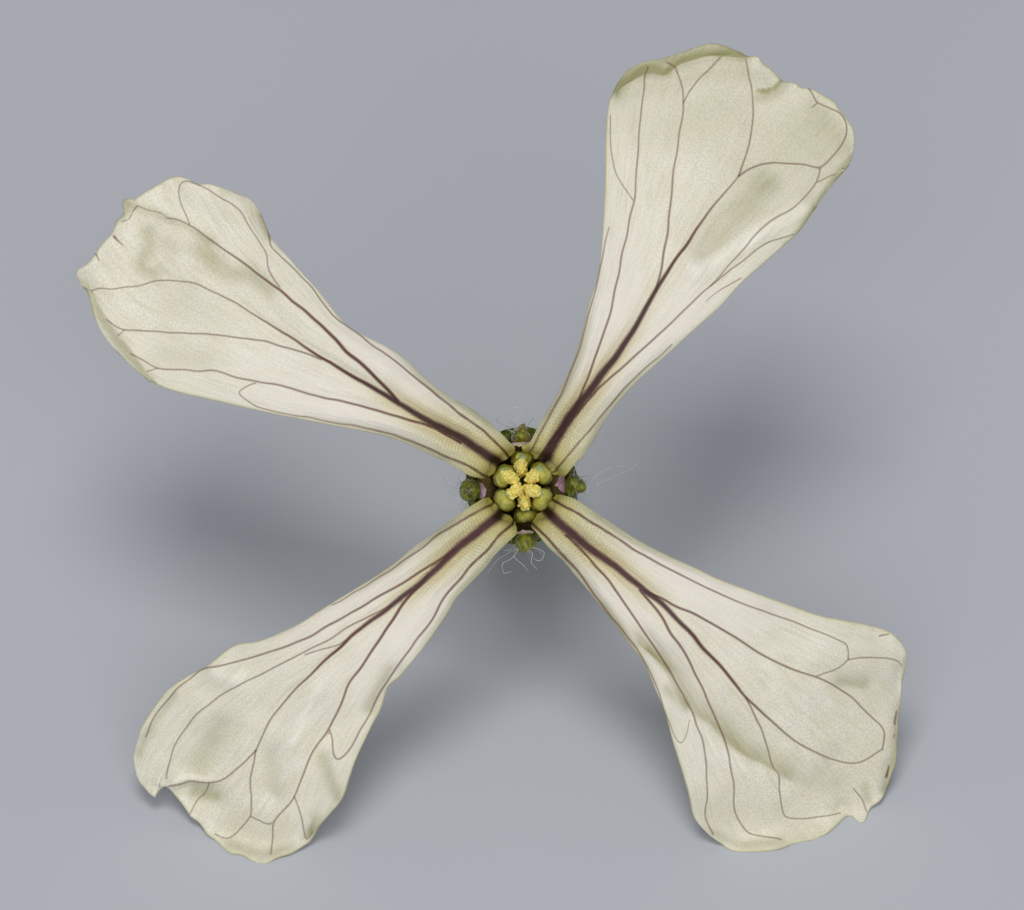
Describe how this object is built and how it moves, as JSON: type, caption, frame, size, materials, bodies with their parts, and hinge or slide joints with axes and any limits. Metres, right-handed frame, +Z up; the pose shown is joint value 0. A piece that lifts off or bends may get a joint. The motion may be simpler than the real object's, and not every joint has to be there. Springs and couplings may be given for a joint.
{
  "type": "arugula flower",
  "caption": "Cut arugula flower: a cross of clawed cream petals with dark veins, hooded green sepals, yellow stamens and a short stalk, lying tipped with its face up.",
  "frame": {"origin": "on the surface that the flower lies on, under the middle of its box", "axes": "+Z up from the surface, +X to the right across the open face, +Y away from someone looking down into the face; the face is tipped back 45 degrees from the surface"},
  "size_m": [0.0232, 0.0158, 0.0167],
  "materials": {
    "petal": "thin fresh petal with a faint sheen",
    "sepal": "fleshy green with a moist sheen",
    "stalk": "green stalk with a soft sheen",
    "filament": "pale and moist",
    "anther": "olive lobes dusted with pollen",
    "pistil": "green with a soft sheen"
  },
  "bodies": {
    "root": {"pedicel_receptacle": "stalk", "pistil": "pistil", "sepal_top": "sepal", "sepal_left": "sepal", "sepal_bottom": "sepal", "sepal_right": "sepal", "petal_upper_right": "petal", "petal_upper_left": "petal", "petal_lower_left": "petal", "petal_lower_right": "petal", "filament_top": "filament", "filament_bottom": "filament", "filament_upper_left": "filament", "filament_upper_right": "filament", "filament_lower_left": "filament", "filament_lower_right": "filament", "anther_top": "anther", "anther_bottom": "anther", "anther_upper_left": "anther", "anther_upper_right": "anther", "anther_lower_left": "anther", "anther_lower_right": "anther"}
  },
  "joints": []
}
